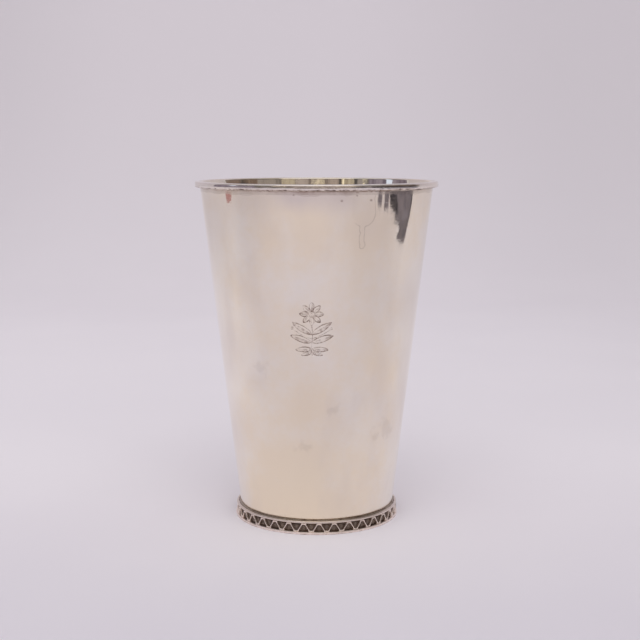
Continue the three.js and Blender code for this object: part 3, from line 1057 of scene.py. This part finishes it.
# Room in front of the stage
ROOM_RADIUS = 1.7
WALL_RADIUS, LIT_RADIUS = ROOM_RADIUS - 0.02, ROOM_RADIUS - 0.03
LAMP_RADIUS = ROOM_RADIUS - 0.05
CORNER_RADIUS = LAMP_RADIUS - 0.02
SHADE_RADIUS = 0.85  # keeps the softbox out of the rim's front
ROOM_FOOT, LAMP_FOOT = 0.02, 0.467
CARD_DEGREES = 6  # for each flat part of a curved card
ROOM_CARDS = [  # name, light, angles in degrees, heights and radius in metres
    ("left_room", "dim_room", (-110, -42), (ROOM_FOOT, 1.5), ROOM_RADIUS),
    ("room", "dim_room", (-42, 110), (ROOM_FOOT, 2.4), ROOM_RADIUS),
    ("cool_wall", "cool_wall", (-110, -58), (ROOM_FOOT, 0.8), WALL_RADIUS),
    ("lit_wall_right", "lit_wall", (23, 38), (0.3, 0.5), LIT_RADIUS),
    ("lit_wall_left", "lit_wall", (-41, -27), (0.3, 0.5), LIT_RADIUS),
    ("far_wall", "pale_wall", (-24, 30), (ROOM_FOOT, 1.1), WALL_RADIUS),
    ("lamp_0", "warm_lamp", (30, 37), (LAMP_FOOT, 0.6), LAMP_RADIUS),
    ("lamp_1", "warm_lamp", (17, 27), (LAMP_FOOT, 0.56), LAMP_RADIUS),
    ("lamp_2", "warm_lamp", (-9, 6), (LAMP_FOOT, 0.56), LAMP_RADIUS),
    ("lamp_3", "warm_lamp", (-30, -28), (0.36, 0.6), LAMP_RADIUS),
    ("lamp_4", "warm_lamp", (-41, -35), (LAMP_FOOT, 0.54), LAMP_RADIUS),
    ("lamp_5", "warm_lamp", (-56, -51), (0.42, 0.5), LAMP_RADIUS),
    ("side_window", "side_window", (-88, -80), (0.3, 0.8), LAMP_RADIUS),
    ("dark_corner", "dark_corner", (50, 104), (ROOM_FOOT, 0.36), LAMP_RADIUS),
    ("warm_corner", "warm_corner", (66, 104), (0.37, 0.65), LAMP_RADIUS),
    ("pale_corner", "pale_corner", (88, 112), (0.3, 0.65), CORNER_RADIUS),
    ("shade", "pale_wall", (-45, 45), (0.44, 1.03), SHADE_RADIUS),
]


def make_room(lights):
    """Upright curved cards round the front of the stage."""
    for name, light, angles, heights, radius in ROOM_CARDS:
        steps = max(2, round((angles[1] - angles[0]) / CARD_DEGREES))
        turns = np.radians(np.linspace(*angles, steps + 1))
        points = [(radius * math.sin(t), -radius * math.cos(t), z) for t in turns for z in heights]
        faces = [(2 * i, 2 * i + 2, 2 * i + 3, 2 * i + 1) for i in range(steps)]
        make_card(name, points, faces, lights[light])


# Floor beyond the paper, as outlines on the stage, in metres
INNER_EDGE = [(0.54, -0.16), (0.49, -0.13), (0.5, -0.06)]
DARK_TIP = [(0.475, -0.07), (0.49, 0.005), (0.45, -0.025), (0.455, 0.04), (0.465, 0.075), (0.55, 0.14)]
OUTER_EDGE = [(0.62, 0.185), (0.69, 0.205)]
DARK_FLOOR = [*INNER_EDGE, *DARK_TIP, *OUTER_EDGE, (1.4, 0.42), (1.4, -0.43)]
DARK_CORE = [*INNER_EDGE, (0.515, -0.025), (0.575, -0.08)]
DARK_EDGE = [(0.685, 0.18), (0.615, 0.165), (0.49, 0.09), DARK_TIP[-1], *OUTER_EDGE]
DARK_STRIPS = [
    [(1.2, -0.72), (1.2, -0.59), (0.44, -0.205), (0.415, -0.235)],
    [(1.2, -0.54), (1.2, -0.4), (0.47, -0.14), (0.445, -0.18)],
]
# In front, a dimmer card stands for the shadow cast on the floor there, which only the silver shows
FRONT_FLOOR_SHADOW = [(-0.55, -1.6), (0.55, -1.6), (0.3, -0.75), (-0.3, -0.75)]
PINK_BOX = [(-0.67, 0.1), (-0.63, -0.015), (-0.58, 0.0), (-0.59, 0.05), (-0.615, 0.085)]
CARD_LIFT = 0.5 * MM
FLOOR_CARDS = [  # outline, light and layer
    (DARK_FLOOR, "dark_floor", 1),
    *((strip, "dark_floor", 1) for strip in DARK_STRIPS),
    (DARK_CORE, "darker_floor", 2),
    (DARK_TIP, "floor_tip", 2),
    (DARK_EDGE, "darker_floor", 3),
    (PINK_BOX, "pink_box", 1),
    (FRONT_FLOOR_SHADOW, "front_floor_shadow", 1),
]


def make_dark_floor(lights):
    """Flat cards just over the stage, layer by layer."""
    for number, (outline, light, layer) in enumerate(FLOOR_CARDS):
        points = [(x, y, CARD_LIFT * layer) for x, y in outline]
        make_card(f"floor_card_{number}", points, [tuple(range(len(points)))], lights[light])


SOFTBOX_SIZE, SOFTBOX_WATTS = 2.0, 11.2
SOFTBOX_FORWARD, SOFTBOX_HEIGHT = 1.25, 1.45
SKY_COLOUR, SKY_STRENGTH = (0.975, 0.955, 0.985), 0.612


def make_softbox():
    """A square lamp in front and above that faces the beaker's foot."""
    lamp = bpy.data.lights.new("softbox", "AREA")
    lamp.size = SOFTBOX_SIZE
    lamp.energy = SOFTBOX_WATTS
    softbox = add_object("softbox", lamp)
    softbox.location = (0, -SOFTBOX_FORWARD, SOFTBOX_HEIGHT)
    softbox.rotation_euler = (math.atan2(SOFTBOX_FORWARD, SOFTBOX_HEIGHT), 0, 0)


def make_world():
    world = bpy.data.worlds.new("studio")
    world.use_nodes = True
    background = world.node_tree.nodes["Background"]
    background.inputs["Color"].default_value = (*SKY_COLOUR, 1.0)
    background.inputs["Strength"].default_value = SKY_STRENGTH
    bpy.context.scene.world = world


def make_camera():
    lens = bpy.data.cameras.new("camera")
    lens.sensor_width = SENSOR
    lens.sensor_fit = "HORIZONTAL"
    lens.lens = SENSOR * FOCAL_PIXELS / FRAME_PIXELS
    lens.shift_x = (FRAME_PIXELS / 2 - AXIS_PIXEL) / FRAME_PIXELS
    camera = add_object("camera", lens)
    camera.location = (0, -CAMERA_DISTANCE, CAMERA_HEIGHT)
    camera.rotation_euler = (math.radians(90 - CAMERA_PITCH), 0, 0)
    bpy.context.scene.camera = camera


make_camera()
make_world()
make_sweep()
lights = {name: glow(name, *light) for name, light in LIGHTS.items()}
make_room(lights)
make_dark_floor(lights)
make_softbox()
bpy.context.scene.view_settings.view_transform = "Standard"
